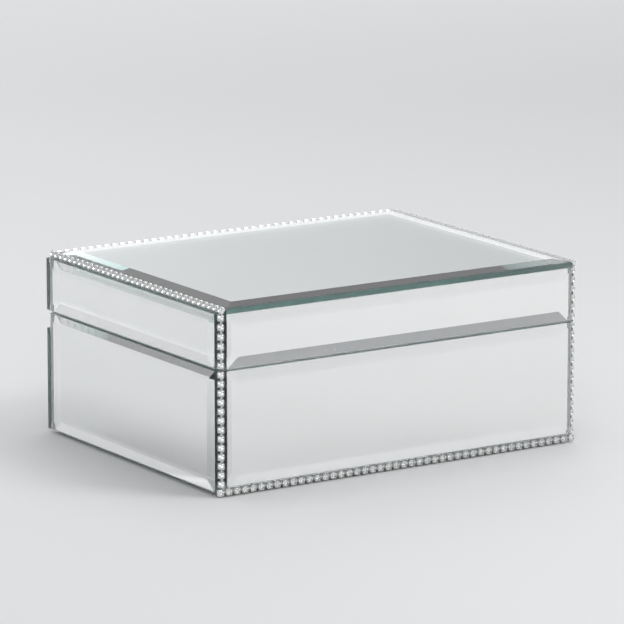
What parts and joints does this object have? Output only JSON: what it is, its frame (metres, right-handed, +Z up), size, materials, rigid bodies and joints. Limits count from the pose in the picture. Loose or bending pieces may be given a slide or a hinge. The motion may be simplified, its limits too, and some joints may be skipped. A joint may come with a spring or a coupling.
{
  "type": "mirrored trinket box",
  "caption": "Rectangular mirror-clad trinket box with bevelled panes, rhinestone cup chain along its edges, and a hinged lid over a velvet-lined inside.",
  "frame": {"origin": "on the table under the middle of the closed box", "axes": "+Z up, front face towards -Y, width along X, hinges at +Y"},
  "size_m": [0.254, 0.1986, 0.1127],
  "materials": {
    "mirror": "silvered float glass with polished bevels",
    "chain_cups": "bright plated brass",
    "stones": "clear faceted glass, foiled behind",
    "painted_board": "fibreboard painted silver grey",
    "velvet": "black velvet",
    "felt": "black felt",
    "hinge_steel": "nickel plated",
    "clear_bumper": "clear soft plastic"
  },
  "bodies": {
    "base": {"base_back_board": "painted_board", "base_back_lining": "velvet", "base_back_mirror": "mirror", "base_bottom_board": "painted_board", "base_bottom_chain_cups": "chain_cups", "base_bottom_chain_stones": "stones", "base_floor_pad": "velvet", "base_front_board": "painted_board", "base_front_lining": "velvet", "base_front_mirror": "mirror", "base_leaf_screws": "hinge_steel", "base_left_board": "painted_board", "base_left_corner_cups": "chain_cups", "base_left_corner_stones": "stones", "base_left_lining": "velvet", "base_left_mirror": "mirror", "base_right_board": "painted_board", "base_right_corner_cups": "chain_cups", "base_right_corner_stones": "stones", "base_right_lining": "velvet", "base_right_mirror": "mirror", "hinge_left_base_leaf": "hinge_steel", "hinge_left_pin": "hinge_steel", "hinge_right_base_leaf": "hinge_steel", "hinge_right_pin": "hinge_steel", "rim_bumpers": "clear_bumper", "underside_felt": "felt"},
    "lid": {"hinge_left_lid_leaf": "hinge_steel", "hinge_right_lid_leaf": "hinge_steel", "lid_back_board": "painted_board", "lid_back_lining": "velvet", "lid_back_mirror": "mirror", "lid_front_board": "painted_board", "lid_front_lining": "velvet", "lid_front_mirror": "mirror", "lid_leaf_screws": "hinge_steel", "lid_left_board": "painted_board", "lid_left_corner_cups": "chain_cups", "lid_left_corner_stones": "stones", "lid_left_lining": "velvet", "lid_left_mirror": "mirror", "lid_right_board": "painted_board", "lid_right_corner_cups": "chain_cups", "lid_right_corner_stones": "stones", "lid_right_lining": "velvet", "lid_right_mirror": "mirror", "lid_top_board": "painted_board", "lid_top_mirror": "mirror", "lid_top_pad": "velvet", "top_back_chain_cups": "chain_cups", "top_back_chain_stones": "stones", "top_left_chain_cups": "chain_cups", "top_left_chain_stones": "stones", "top_right_chain_cups": "chain_cups", "top_right_chain_stones": "stones"}
  },
  "joints": [
    {"name": "lid_hinge", "type": "hinge", "parent": "base", "child": "lid", "pos_m": [0, 0.0964, 0.0735], "axis": [-1, 0, 0], "range_deg": [0, 100]}
  ]
}
